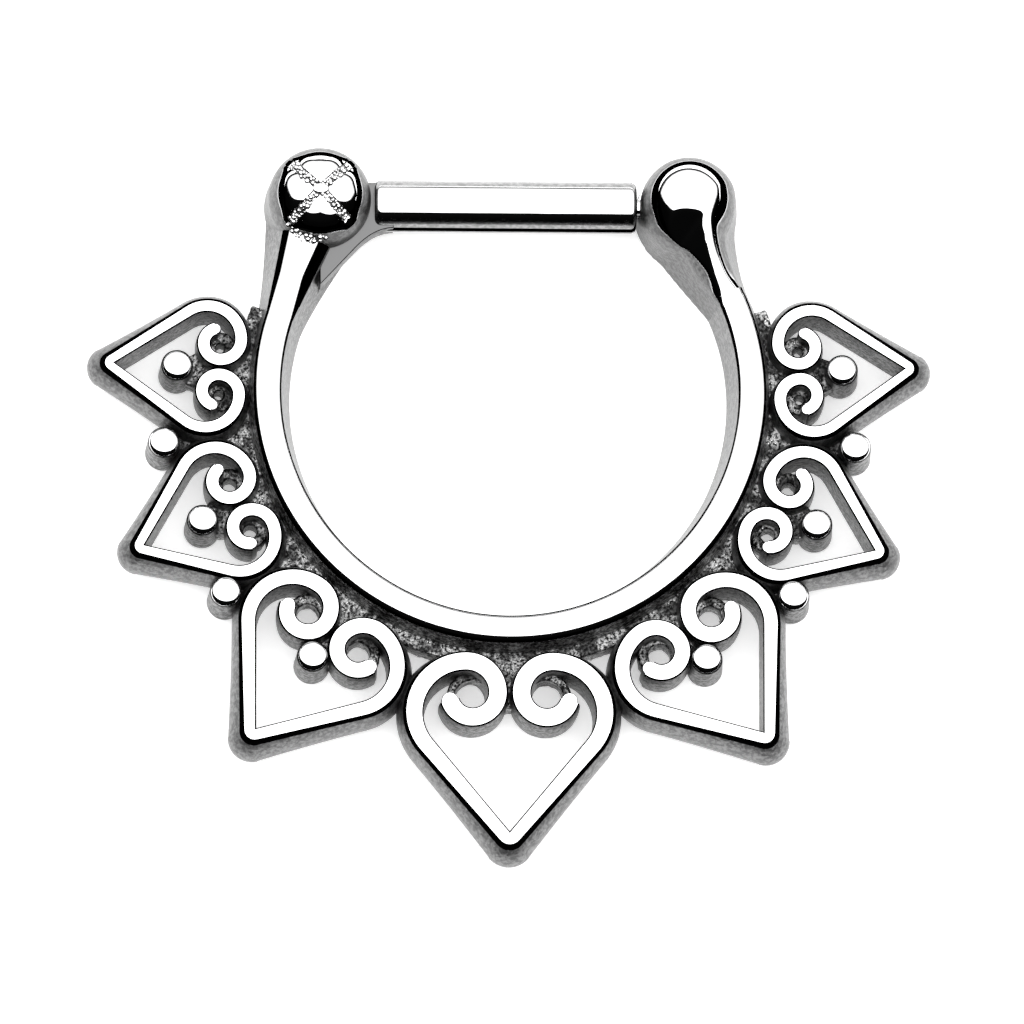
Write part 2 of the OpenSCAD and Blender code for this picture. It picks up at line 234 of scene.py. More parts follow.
# %% [markdown]
# The ring and its hinge arm
#
# The section of the ring is a drafted block: wide at the back so that the wax leaves its mould, narrow and flat in
# front where it is polished. Polishing rolls the edges of the face over, and outside the roll stays a narrow steep
# flat that the wheel never reached. That flat draws the black line round every white face, partly because it
# reflects the dark room and partly because its material paints it nearly black as painted shade, so it gets
# straight sides of its own, and it widens along the arms, where the line is broader too.

# %% Sweep the ring
edge_roll, roll_turn, flat_slope = 0.36, math.radians(43), math.radians(48)
flat_in, flat_out, inner_flat, outer_flat = 0.03, 0.045, 0.16, 0.07
arm_swell = 1.3
# distances from the wall's foot and heights along the round at the back's edge
foot_round = [(0.06, 0), (0.05, 0), (0.015, 0.012), (0.002, 0.045)]


def half_section(back_wide, face_wide, height, crown, flat):
    """Half a section, from the middle of the back over the wall and the rolled edge to the middle of the face."""
    back, face = back_wide / 2, face_wide / 2
    edge = min(edge_roll, (face - flat) / math.sin(roll_turn) - 0.01)
    rows = [(0, 0), (0.5 * back, 0)] + [(back - x, z) for x, z in foot_round]
    shoulder = height - edge * (1 - math.cos(roll_turn)) - flat * math.tan(flat_slope)
    for q in np.linspace(0, 1, 9):
        rows.append((back * (1 - q) + face * q + 0.02 * face * math.sin(math.pi * q), 0.05 + (shoulder - 0.05) * q))
    for a in roll_turn * np.linspace(1, 0, 13):
        rows.append((face - flat - edge * (math.sin(roll_turn) - math.sin(a)), height - edge * (1 - math.cos(a))))
    reach = rows[-1][0]
    rows += [(reach * (1 - k / 8), height) for k in range(1, 9)]
    return [(x, z - crown * min(x / face, 1) ** 2 * min(z / height, 1) ** 1.3) for x, z in rows]


def band_section(back_wide, face_wide, height, crown=0, outer_more=0, inner_more=0):
    """A whole section, with the outer side's dark flat and the inner side's each as wide as asked."""
    outer = half_section(back_wide, face_wide, height, crown, flat_out + outer_more)
    inner = half_section(back_wide, face_wide, height, crown, flat_in + inner_more)
    return outer + [(-x, z) for x, z in inner[-2:0:-1]]


def arm_back(ball_radius, t):
    return ring_back + (2 * (ball_radius + ball_flare) - ring_back) * t ** arm_swell


def hinge_arm_rows():
    """Sections down the hinge arm on the left, from inside its ball to the ring."""
    foot, along, out, length = arm_axes(hinge)
    rows = []
    for t in np.linspace(0.9, 0.02, 25):
        more = min(3 * t, 1)
        section = band_section(arm_back(hinge_ball, t), ring_face + (hinge_face - ring_face) * t, ring_depth, 0,
                               outer_flat * more, inner_flat * more)
        places = [(foot + t * length * along + x * out, z) for x, z in section]
        rows.append([(-at[0], at[1], z) for at, z in places])
    return rows


def ring_rows(first, last, steps, inset=0):
    """Sections round the ring, drawn in a little where its end has to hide inside the arm."""
    section = band_section(ring_back - 2 * inset, ring_face - 2 * inset, ring_depth - inset)
    return [[(*polar(ring_mid + x, bearing), z) for x, z in section] for bearing in np.linspace(first, last, steps + 1)]


catch_bearing = arm_bearing(catch)
ring_made = loft(hinge_arm_rows() + ring_rows(-arm_bearing(hinge), catch_bearing, 200)
                 + ring_rows(catch_bearing, catch_bearing + 2, 3, 0.006)[1:])
# the wheel never reached the outer wall where the hearts sit, so its pits stay there
ring = make_piece("ring_band", *ring_made, pitted=[
    1.0 if math.hypot(x, y) > ring_mid and y < 1.5 else 0.0 for x, y, z in ring_made[0]])
print("ring", triangles(ring), "triangles")

# %% [markdown]
# The catch
#
# On the real jewel the right arm swells into its ball without a break, like a drop of metal. So the ball and the arm
# are worked out as two sets of sections across the same path, and at each angle round a section the larger of the
# two wins, with a soft changeover where they are nearly equal. That is the fillet that a polishing wheel leaves.
# On the side towards the opening a flat was ground into the slope below the ball. It leans away from the light, so
# it shows as a black drop in the white face.

# %% Grow the catch out of its arm
catch_z = ball_height - catch_ball
ray_z, ray_step, melt_width = 0.85, 2.25, 0.14
angles = np.arange(0, 360, ray_step)
quarter = len(angles) // 4
# the ground flat: its height, its slope and the way it leans, how far short of the ball's centre and how far off the
# middle line that height is met, and the line that ends it on the face
drop_level, drop_slope, drop_lean, drop_stop, drop_x = 1.95, 0.79, (0.47, 0.88), 0.58, -0.31
drop_runs, drop_edges, drop_side = (0, 0.48, 0.89, 1.4), (-0.28, -0.2, -0.15, -0.05, 0.11), 0.7


def ball_width(radius, height):
    centre = ball_height - radius
    if height < centre:
        return radius + ball_flare * (1 - height / centre)
    return math.sqrt(max(radius ** 2 - (height - centre) ** 2, 0))


def face_level(t):
    return ring_depth + (ball_height - ring_depth) * ease(t)


def face_crown(t):
    return catch_crown * math.sin(math.pi / 2 * t)


def face_width(t):
    return ring_face + (catch_face - ring_face) * t * t


def as_rays(outline, each):
    """How far an outline reaches at each angle round the middle of the section."""
    corners = np.array(outline)
    following = np.roll(corners, -1, axis=0)
    points = np.concatenate([corners + (following - corners) * k / each for k in range(each)])
    around = np.degrees(np.arctan2(points[:, 1] - ray_z, points[:, 0])) % 360
    reach = np.hypot(points[:, 0], points[:, 1] - ray_z)
    order = np.argsort(around)
    around, reach = around[order], reach[order]
    around = np.concatenate([around[-1:] - 360, around, around[:1] + 360])
    return np.interp(angles, around, np.concatenate([reach[-1:], reach, reach[:1]]))


def soft_larger(a, b, width):
    return np.maximum(a, b) + np.maximum(width - np.abs(a - b), 0) ** 2 / (4 * width)


def catch_rays(run, length):
    """Rays of one section across the arm, with the ball melted in."""
    t = run / length
    rays = as_rays(band_section(arm_back(catch_ball, t), face_width(t), face_level(t), face_crown(t),
                                1.8 * outer_flat * min(4 * t, 1), inner_flat * min(3 * t, 1)), 8)
    away = length - run
    if away < ball_width(catch_ball, ray_z) - 0.01:
        heights = [*np.linspace(0, catch_z, 20), *(catch_z + catch_ball * np.sin(np.linspace(0.05, math.pi / 2, 40)))]
        shape = [(math.sqrt(ball_width(catch_ball, z) ** 2 - away ** 2), z)
                 for z in heights if ball_width(catch_ball, z) > away]
        whole = [(0, shape[0][1])] + shape + [(0, shape[-1][1])] + [(-x, z) for x, z in shape[::-1]]
        rays = soft_larger(rays, as_rays(whole, 4), melt_width)
    top = np.maximum(np.sin(np.radians(angles)), 1e-6)
    return np.where(top > 1e-5, np.minimum(rays, (ball_height - ray_z) / top), rays)


def ray_row(rays, middle, across):
    """The points that a section's rays reach, kept above the table."""
    row = []
    for (c, s), r in zip((unit(a) for a in angles), rays):
        x, z = r * c, ray_z + r * s
        x, z = (x, z) if z > 0 else (x * ray_z / (ray_z - z), 0.0)
        row.append((*(middle + x * across), z))
    return row


def far_half(last_rays, along, out):
    """The ball's half beyond the arm, as half sections that turn about its own axis."""
    profile = [(0, 0)] + [(ball_width(catch_ball, z), z) for z in np.linspace(0, catch_z, 30)]
    profile += [(catch_ball * math.cos(q), catch_z + catch_ball * math.sin(q))
                for q in np.linspace(0.02, math.pi / 2, 60)]
    ball_rays = as_rays(profile + [(-x, z) for x, z in profile[::-1]], 4)
    mirrored = np.roll(last_rays[::-1], 2 * quarter + 1)
    half = [(k - quarter) % len(angles) for k in range(2 * quarter + 1)]
    rows = []
    for turn in np.linspace(0, 180, 73):
        across = math.cos(math.radians(turn))
        side = last_rays if turn <= 90 else mirrored
        whole = ray_row(ball_rays + (side - ball_rays) * across ** 2, catch,
                        out * across + along * math.sin(math.radians(turn)))
        rows.append([whole[k] for k in half])
    return rows


def on_arm(v, foot, along, out):
    """How far a vertex lies along the arm, and how far to the outer side of its middle line."""
    here = np.array([v.co.x * 1000, v.co.y * 1000 - middle_y]) - foot
    return here @ along, here @ out


def smooth_softly(piece, times):
    live = piece.modifiers.new("smooth", "SMOOTH")
    live.factor, live.iterations, live.vertex_group = 0.5, times, "soft"
    return freeze(piece, 40)


def grow_catch():
    foot, along, out, length = arm_axes(catch)
    near = ball_width(catch_ball, ray_z)
    stations = [*np.linspace(0.0, length - near, 30)[:-1]]
    stations += [length - near * math.cos(math.radians(a)) for a in np.linspace(5, 90, 36)]
    rows = []
    for run in stations:
        t = run / length
        rows.append(ray_row(catch_rays(run, length), foot + run * along - 4 * t * (1 - t) * catch_sway * out, out))
    points, faces = loft(rows)
    faces.pop()
    far_rows = far_half(catch_rays(length, length), along, out)
    base, wide = len(points), len(far_rows[0])
    points += [p for row in far_rows for p in row]
    for i in range(len(far_rows) - 1):
        for k in range(wide - 1):
            a, b = base + i * wide + k, base + (i + 1) * wide + k
            faces.append((a, a + 1, b + 1, b))
    piece = make_piece("catch_ball", points, faces, 180)
    group = piece.vertex_groups.new(name="soft")
    for v in piece.data.vertices:
        run, x = on_arm(v, foot, along, out)
        group.add([v.index], clamp((run - 0.15) / 0.6) * clamp((v.co.z * 1000 - 0.05) / 0.2), "REPLACE")
    return smooth_softly(piece, 20)


def grind_drop(piece):
    """Takes the slope down to the ground flat, but no lower than a bank along the face that stays polished."""
    foot, along, out, length = arm_axes(catch)
    flat_run = length - drop_stop
    for v in piece.data.vertices:
        run, x = on_arm(v, foot, along, out)
        if v.co.z < 0.0012 or run < 0:
            continue
        t = min(run / length, 1)
        edge_x = np.interp(run, (*drop_runs, flat_run), drop_edges)
        edge_z = face_level(t) - face_crown(t) * (edge_x / (face_width(t) / 2)) ** 2
        ground = drop_level + drop_slope * (drop_lean[0] * (x - drop_x) + drop_lean[1] * (run - flat_run))
        v.co.z = min(v.co.z, max(ground, edge_z - drop_side * (edge_x - x)) / 1000)
    return smooth_softly(piece, 5)


catch_piece = grind_drop(grow_catch())
print("catch", triangles(catch_piece), "triangles")

# %% [markdown]
# The hinge ball
#
# The ball on the left hides the hinge. Two grooves cross on its front, and the four leaves between them are polished
# like small cushions. A dense turned ball is pushed in along the grooves by how near each point lies to either
# groove's middle plane. Away from the ring the grooves run out slowly, towards it they end short.

# %% Turn the hinge ball and press its grooves
groove_wide, groove_deep, groove_reach = 0.2, 0.11, 54
cushion_deep, cushion_wide = 0.085, 0.42
hinge_z = ball_height - hinge_ball


def ball_profile():
    foot = hinge_ball + ball_flare
    rows = [(0, 0), (0.5 * foot, 0), (foot - 0.05, 0), (foot - 0.015, 0.015), (foot, 0.05)]
    rows += [(foot - ball_flare * k / 8, 0.05 + (hinge_z - 0.05) * k / 8) for k in range(1, 8)]
    rows += [(hinge_ball * math.cos(a), hinge_z + hinge_ball * math.sin(a)) for a in np.linspace(0, math.pi / 2, 120)]
    rows[-1] = (0, ball_height)
    return rows


def groove_press(off, run, upper):
    """How deep one groove is at a point off its middle plane and some way along it."""
    beyond, fade = (12, 26) if upper else (0, 5)
    ends = clamp((groove_reach + beyond - math.degrees(math.asin(min(abs(run), 1)))) / fade)
    wall = clamp((1.12 - abs(off) * hinge_ball / (groove_wide / 2)) / 0.24)
    return ease(wall) * ends * groove_deep


def press_grooves(made):
    points = []
    for x, y, z in made[0]:
        d = np.array([x, y, z - hinge_z])
        r = np.linalg.norm(d)
        if z > hinge_z and r > 0.9 * hinge_ball:
            n = d / r
            tilt = math.degrees(math.acos(min(n[2], 1)))
            along, across = (n[0] + n[1]) / math.sqrt(2), (n[0] - n[1]) / math.sqrt(2)
            press = max(groove_press(across, along, n[1] > 0), groove_press(along, across, n[1] > 0))
            leaf = min(abs(along), abs(across)) * hinge_ball
            cushion = cushion_deep * max(1 - leaf / cushion_wide, 0) ** 2 * clamp((groove_reach + 8 - tilt) / 12)
            d = n * (hinge_ball - max(press, cushion))
        points.append((d[0], d[1], d[2] + hinge_z))
    return points, made[1]


hinge_piece = make_piece("hinge_ball", *moved(press_grooves(revolve(ball_profile(), 288)), hinge), 40)
print("hinge ball", triangles(hinge_piece), "triangles")

# %% [markdown]
# Saw cuts
#
# The bar's tongue needs a slot that is open from the closed bar to the fully open one, the pin needs its hole, and
# the nib needs a groove in the catch ball that is open towards the top. They are cut with exact booleans from simple
# prisms, because sharp sawn edges should stay sharp.

# %% Cut the slot, the pin's hole and the nib's groove
bar_radius, bar_drop, bar_height, ball_gap = 0.6, 0.1, ring_depth / 2, 0.08
tongue_half, tongue_round, heel_reach, slot_gap = 0.3, 0.66, 2.05, 0.03
pin_radius, pin_top, nib_radius, nib_reach, nib_gap = 0.3, 1.71, 0.2, 0.42, 0.03
open_turn, closed_back = 100, 267.5

stem_top = math.sqrt(bar_radius ** 2 - tongue_half ** 2) - bar_drop - 0.02
stem_low = -bar_drop - bar_radius + 0.02
balls_apart = catch[0] - hinge[0]
bar_start, bar_end = hinge_ball + ball_gap, balls_apart - catch_ball - ball_gap
nib_end = bar_end + nib_reach


def arc(radius, start, end, step_deg=4):
    n = max(int(abs(end - start) / step_deg), 2)
    return [tuple(radius * unit(start + (end - start) * i / n)) for i in range(n + 1)]


def flat_cutter(name, outline, half):
    """A cutter of some thickness to either side of the bar's middle."""
    return make_piece(name, *moved(prism(outline, bar_height - half, bar_height + half), hinge))


def pin_hole(gap, top):
    """A cutter for the pin, which enters from the back."""
    return make_piece("pin_cutter", *moved(prism(arc(pin_radius + gap, 0, 355, 5), -0.5, top), hinge))


slot_reach, slot_top = heel_reach + 0.2, stem_top + slot_gap
slot_outline = [(-slot_gap, -slot_reach)] + arc(slot_reach, -90, open_turn)
slot_outline.append(tuple(slot_reach * unit(open_turn) + slot_top * unit(open_turn + 90)))
slot_outline += arc(tongue_round + slot_gap,
                    open_turn + math.degrees(math.asin(slot_top / (tongue_round + slot_gap))), closed_back)
# the nib's groove runs from just below the closed nib to where the nib is free of the ball
groove_half = nib_radius + nib_gap
low_turn = -math.degrees(math.asin((bar_drop + groove_half) / nib_end))
free_turn = math.degrees(math.acos((nib_end ** 2 + balls_apart ** 2 - (catch_ball + ball_flare) ** 2)
                                   / (2 * nib_end * balls_apart))) + 4
groove_outline = arc(bar_end - ball_gap, low_turn, free_turn, 0.5) + arc(nib_end + 0.06, free_turn, low_turn, 0.5)

slot_half = tongue_half + slot_gap
cut(ring, [flat_cutter("slot_cutter", slot_outline, slot_half + 0.004)])
cut(hinge_piece, [flat_cutter("slot_cutter", slot_outline, slot_half), pin_hole(0.01, pin_top + 0.02)], 40)
cut(catch_piece, [flat_cutter("groove_cutter", groove_outline, groove_half)], 40)
print("cut:", triangles(ring), triangles(hinge_piece), triangles(catch_piece), "triangles")

# %% [markdown]
# The hearts
#
# Each heart is one strip of metal: from the eye of the left scroll over the lobe, down the side, round the tip, and
# up again. Its face is flat, its inner wall is steep, and its outer wall swells to a belly and draws in again at the
# back. At the tip the inner edge is one mitred corner while the outer edge turns in a blunt round, so the stations
# there share their inner point. One closed loft a heart avoids any doubled face in the mirror. The inner walls and
# the scrolls are out of the wheel's reach, so they are marked as pitted.

# %% Bend the strips
strip_bevel, outer_trim, inner_trim = 0.032, 0.035, 0.03
belly_steps, lobe_share, tip_rise = 8, 0.88, 0.22


def strip_section(outer, inner, lean, push):
    """One section of the strip, from the foot of its outer wall over the face to the foot of its inner wall."""
    wide = outer - inner
    u = wide / np.linalg.norm(wide)
    outer, inner = outer + outer_trim * u, inner - inner_trim * u
    belly, foot = np.array([lean, -belly_drop]), np.array([0.48 * lean, -heart_depth + step])
    top = np.array([0.006, -1.2 * strip_bevel])
    bend = 2 * belly - 0.5 * (foot + top)
    rows = [(foot[0] - 0.03, foot[1], 0)]
    for i in range(belly_steps + 1):
        t = i / belly_steps
        p = (1 - t) ** 2 * foot + 2 * t * (1 - t) * bend + t * t * top
        rows.append((p[0], p[1] + (step if i == 0 else 0), 4 * t * (1 - t)))
    rows += [(-strip_bevel, 0, 0), (-strip_bevel - 0.012, 0, 0)]
    points = [(*(outer + x * u + np.array([0, -push * share])), heart_depth + z) for x, z, share in rows]
    rows = [(strip_bevel + 0.012, 0), (strip_bevel, 0), (-0.002, -1.2 * strip_bevel),
            (-0.25 * inner_draft, -0.3 * heart_depth), (-0.6 * inner_draft, -0.7 * heart_depth),
            (-inner_draft, -heart_depth + 2 * step), (-inner_draft + 0.02, -heart_depth + step)]
    return points + [(*(inner + x * u), heart_depth + z) for x, z in rows]


def strip_arcs(heart):
    """The strip's width in a heart, and the radii and centres of its four arcs from the lobe to the scroll's end."""
    wide, strip = heart_wide * heart.wide, strip_wide * heart.wide
    r = [share * wide for share in scroll]
    c1 = np.array([wide / 2 - strip / 2 - r[0], -strip / 2 - r[0]])
    c2 = np.array([c1[0], -strip / 2 - r[1]])
    c3 = np.array([c2[0] - r[1] + r[2], c2[1]])
    return strip, r, (c1, c2, c3, c3 + np.array([0, r[3] - r[2]]))


def half_heart(heart):
    """Sections of a heart's right half, from the scroll's end to the tip."""
    strip, r, (c1, c2, c3, c4) = strip_arcs(heart)
    tip = tip_wide * heart.wide
    foot = np.array([0, -heart_long * heart.long + tip / 2])
    run = c1 - foot
    side = math.degrees(math.atan2(run[1], run[0])) + math.degrees(math.acos(r[0] / np.linalg.norm(run))) - 180
    made = []

    def add(middle, angle, half, lean, push=0):
        u = unit(angle)
        made.append(strip_section(middle + half * u, middle - half * u, lean, push))

    for centre, radius, first, span, steps, least in (
            (c4, r[3], 270, scroll_end, 24, inner_draft), (c3, r[2], 180, 90, 24, inner_draft),
            (c2, r[1], 90, 90, 28, belly_root)):
        for i in range(steps, 0, -1):
            a = first + span * i / steps
            add(centre + radius * unit(a), a, strip / 2, least + (inner_draft - least) * i / steps)
    for i in range(30, -1, -1):
        a = side + (90 - side) * i / 30
        add(c1 + r[0] * unit(a), a, strip / 2 * (lobe_share + (1 - lobe_share) * i / 30),
            belly_root + (belly_out - belly_root) * ease(min(1.6 * (1 - i / 30), 1)))
    u = unit(side)
    lobe, lobe_half, tip_half = c1 + r[0] * u, lobe_share * strip / 2, tip / 2
    inner_tip, inner_lobe = foot - tip_half * u, lobe - lobe_half * u
    mitre = -inner_tip[0] / (inner_lobe[0] - inner_tip[0])
    for i in range(11, -1, -1):
        t = mitre + (1 - mitre) * i / 12
        add(foot + t * (lobe - foot), side, tip_half + t * (lobe_half - tip_half),
            belly_out + (belly_tip - belly_out) * (1 - t) ** 1.5, tip_push * (1 - t))
    corner = inner_tip + mitre * (inner_lobe - inner_tip)
    rise = tip_rise * heart.wide
    blunt = tip_half + rise * abs(math.sin(math.radians(side)))
    for a in np.linspace(side, -90, 13):
        made.append(strip_section(foot + np.array([0, rise]) + blunt * unit(a), corner, belly_tip, tip_push))
    return made


def whole_heart(heart):
    right = half_heart(heart)
    return loft(right + [[(-x, y, z) for x, y, z in section] for section in right[-2::-1]])


def place(made, heart, side):
    """Sets a heart's mesh on the ring, mirrored for the left side."""
    points, faces = moved(moved(made, (0, -seat), heart.lean), turn=heart.bearing)
    return [(side * x, y, z) for x, y, z in points], faces


def sides(heart):
    return (1,) if heart.bearing == 0 else (1, -1)


def scroll_posts(heart):
    """The round ends of a heart's strip inside its scrolls."""
    strip, r, centres = strip_arcs(heart)
    end = centres[3] + r[3] * unit(270 + scroll_end)
    half, top = strip / 2, heart_depth - 0.006
    profile = [(0, 2 * step), (half + 0.02, 2 * step), (half - 0.002, top - 0.05), (half - 0.006, top - 0.02),
               (half - 0.02, top - 0.005), (half - 0.045, top), (half - 0.057, top), (0, top)]
    return [moved(revolve(profile, 48), (x * end[0], end[1])) for x in (1, -1)]


section_points, first_inner, scroll_stations = 19, 14, 50
heart_pieces = []
for number, heart in enumerate(hearts):
    strip_made, posts = whole_heart(heart), scroll_posts(heart)
    count = len(strip_made[0])
    # the pitted marks also bring painted shade: the material gives these inner walls and scrolls darker tones
    pits = []
    for k in range(count):
        station = k // section_points
        scrolled = min(station, count // section_points - station) < scroll_stations
        pits.append(1.0 if k % section_points >= first_inner or scrolled else 0.0)
    pits += [0.0] * sum(len(post[0]) for post in posts)
    for side in sides(heart):
        label = f"heart_{number}" + ("" if len(sides(heart)) == 1 else ("_right" if side > 0 else "_left"))
        heart_pieces.append(make_piece(label, *place(joined([strip_made] + posts), heart, side), 34, pits))
print("hearts:", [triangles(piece) for piece in heart_pieces], "triangles")

# %% [markdown]
# The sunken web
#
# Between ring and hearts runs a sunken floor of metal that nobody polished. In the mould it was pressed against sand
# or investment, so it kept a pebbled skin. All its plates are joined first and remeshed as one body, which melts
# their seams together as casting does, and then Geometry Nodes push the skin in and out by noise.

# %% Cast the web
web_depth, web_band, voxel = 0.8, 0.42, 0.05
bead_radius, bead_post, bead_dome, bead_drop, bead_seat = 0.37, 1.24, 0.2, -1.6, 2.18
eye_share, eye_most = 1.25, 1.1


def disc(radius, at, step_deg):
    return [tuple(at + radius * unit(a)) for a in range(0, 360, step_deg)]


def heart_web(heart):
    """The floor inside a heart: a plate under each scroll with its eye pierced, and a saddle that holds a bead."""
    strip, r, centres = strip_arcs(heart)
    eye, plate = centres[2], r[2]
    hole = (plate - strip / 2 - inner_draft) * min(eye_share * heart.pierced, eye_most)
    bead_y = bead_drop if heart.holds_bead else eye[1] - plate / 2
    low, high = 3 * step, web_depth - step
    right = [(bead_radius * 2 / 3, bead_y), (eye[0], eye[1] - plate / 2), (eye[0], -0.02)]
    saddle = [(-x, y) for x, y in right[::-1]] + right
    parts = [prism(disc(plate, (x * eye[0], eye[1]), 6), low, high) for x in (1, -1)] + [prism(saddle, low, high)]
    body = make_piece("web_plate", *joined(parts))
    cut(body, [make_piece("eye_cutter", *prism(disc(hole, (x * eye[0], eye[1]), 12), -1, 3)) for x in (1, -1)],
        overlaps=True)
    points = [(v.co.x * 1000, v.co.y * 1000 - middle_y, v.co.z * 1000) for v in body.data.vertices]
    faces = [tuple(f.vertices) for f in body.data.polygons]
    bpy.data.objects.remove(body)
    return points, faces


last = hearts[-1]
web_end = last.bearing + math.degrees(math.asin(heart_wide * last.wide / 2 / seat))
band_rows = []
for bearing in np.linspace(-web_end, web_end, 201):
    inner, outer = polar(ring_mid, bearing), polar(ring_outer + web_band, bearing)
    band_rows.append([(*inner, 2 * step), (*outer, 2 * step), (*outer, web_depth), (*inner, web_depth)])
web_parts = [loft(band_rows)]
for heart in hearts:
    plate_made = heart_web(heart)
    web_parts += [place(plate_made, heart, side) for side in sides(heart)]

bead_spots = []
strut_end = -ring_outer - bead_seat
strut = prism([(bead_radius, -ring_outer), (-bead_radius, -ring_outer), (-bead_radius * 2 / 3, strut_end),
               (bead_radius * 2 / 3, strut_end)], 3 * step, web_depth - 2 * step)
for number, heart in enumerate(hearts):
    if heart.holds_bead:
        bead_spots += [place(([(0, bead_drop, 0)], []), heart, side)[0][0] for side in sides(heart)]
    if heart.next_bead > 0:
        bearing = heart.bearing + (hearts[number + 1].bearing - heart.bearing) * heart.next_bead
        for side in (1, -1):
            web_parts.append(moved(strut, turn=side * bearing))
            bead_spots.append((*polar(ring_outer + bead_seat, side * bearing), 0))


def scale_mesh(mesh, factor):
    for v in mesh.vertices:
        v.co *= factor


# the voxels would be too small to count in metres, so the web is melted at a thousand times its size
web = make_piece("cast_web", *joined(web_parts))
scale_mesh(web.data, 1000)
melt = web.modifiers.new("melt", "REMESH")
melt.mode, melt.voxel_size = "VOXEL", voxel
freeze(web, 180)
scale_mesh(web.data, 0.001)
print("web", triangles(web), "triangles;", len(bead_spots), "beads to set")

# %% [markdown]
# Geometry Nodes for what repeats
#
# A node tree is built once with named inputs and then used like a tool: one pebbles the cast skin, one sets a domed
# bead on a post at every marked spot, and one lays small granules along a groove, as a milgrain wheel would. The
# script sets each input by its identifier and keeps the result as a plain mesh. Every tree lays on a finish last.

# %% Build the node trees
def feed(tree, socket, value):
    """Links a socket to another one, or to a node's first output, or types a plain value into it."""
    if isinstance(value, bpy.types.Node):
        value = value.outputs[0]
    if isinstance(value, bpy.types.NodeSocket):
        tree.links.new(value, socket)
    else:
        socket.default_value = value


def node(tree, kind, inputs=None, **settings):
    made = tree.nodes.new(kind)
    for key, value in settings.items():
        setattr(made, key, value)
    for key, value in (inputs or {}).items():
        feed(tree, made.inputs[key], value)
    return made


def sum_of(tree, operation, a, b=0.0):
    return node(tree, "ShaderNodeMath", {0: a, 1: b}, operation=operation)


def new_tree(kind, name, inputs, outputs):
    """A tree whose named inputs each have a value or a kind, and whose outputs have a kind."""
    tree = bpy.data.node_groups.new(name, kind)
    for dials, in_out in ((inputs, "INPUT"), (outputs, "OUTPUT")):
        for label, value in dials.items():
            typed = not isinstance(value, str)
            sort = ("Int" if isinstance(value, int) else "Float") if typed else value
            socket = tree.interface.new_socket(label, in_out=in_out, socket_type="NodeSocket" + sort)
            if typed:
                socket.default_value = value
    return tree, tree.nodes.new("NodeGroupInput").outputs, tree.nodes.new("NodeGroupOutput")


def shape_tree(name, inputs):
    return new_tree("GeometryNodeTree", name, {"Geometry": "Geometry", **inputs, "Finish": "Material"},
                    {"Geometry": "Geometry"})


def close_tree(tree, dial, target, shape):
    real = node(tree, "GeometryNodeRealizeInstances", {"Geometry": shape})
    feed(tree, target.inputs[0], node(tree, "GeometryNodeSetMaterial", {"Geometry": real, "Material": dial["Finish"]}))
    return tree


def named_finish(name):
    """A material by its name, bare until its recipe is mixed, so that a tree can already lay it on."""
    return bpy.data.materials.get(name) or bpy.data.materials.new(name)


def grow(piece, tree, finish, values, sharp=32):
    """Runs a tree on a piece with its inputs set and keeps the result as a plain mesh."""
    live = piece.modifiers.new(tree.name, "NODES")
    live.node_group = tree
    values = {**values, "Finish": named_finish(finish)}
    for item in tree.interface.items_tree:
        if item.item_type == "SOCKET" and item.in_out == "INPUT" and item.name in values:
            live[item.identifier] = values[item.name]
    piece.update_tag()
    return freeze(piece, sharp)


def skin_tree():
    tree, dial, target = shape_tree("pebbled_skin", {"Grain height": 0.00004, "Grain size": 0.00012, "Seed": 3})
    noise = node(tree, "ShaderNodeTexNoise", {
        "Vector": node(tree, "GeometryNodeInputPosition"), "Detail": 3, "Roughness": 0.6,
        "Scale": sum_of(tree, "DIVIDE", 1.0, dial["Grain size"]), "W": dial["Seed"]}, noise_dimensions="4D")
    swing = sum_of(tree, "SUBTRACT", noise, 0.55)
    push = node(tree, "ShaderNodeVectorMath", {
        0: node(tree, "GeometryNodeInputNormal"),
        "Scale": sum_of(tree, "MULTIPLY", swing, dial["Grain height"])}, operation="SCALE")
    shift = node(tree, "GeometryNodeSetPosition", {"Geometry": dial["Geometry"], "Offset": push})
    return close_tree(tree, dial, target, shift)


def bead_tree():
    tree, dial, target = shape_tree("beads_on_posts", {
        "Bead radius": 0.00037, "Post height": 0.00124, "Post flare": 0.00005, "Dome height": 0.0002,
        "Post foot": 0.00008})
    post = node(tree, "GeometryNodeMeshCone", {
        "Vertices": 64, "Radius Top": dial["Bead radius"],
        "Radius Bottom": sum_of(tree, "ADD", dial["Bead radius"], dial["Post flare"]),
        "Depth": sum_of(tree, "SUBTRACT", dial["Post height"], dial["Post foot"])})
    dome = node(tree, "GeometryNodeMeshUVSphere", {"Segments": 64, "Rings": 40, "Radius": dial["Bead radius"]})
    dome_squash = sum_of(tree, "DIVIDE", dial["Dome height"], dial["Bead radius"])
    both = node(tree, "GeometryNodeJoinGeometry")
    for shape, foot, squash in ((post, "Post foot", 1.0), (dome, "Post height", dome_squash)):
        raised = node(tree, "GeometryNodeTransform", {
            "Geometry": shape.outputs["Mesh"],
            "Translation": node(tree, "ShaderNodeCombineXYZ", {"Z": dial[foot]}),
            "Scale": node(tree, "ShaderNodeCombineXYZ", {"X": 1, "Y": 1, "Z": squash})})
        feed(tree, both.inputs[0], raised)
    placed = node(tree, "GeometryNodeInstanceOnPoints", {"Points": dial["Geometry"], "Instance": both})
    return close_tree(tree, dial, target, placed)


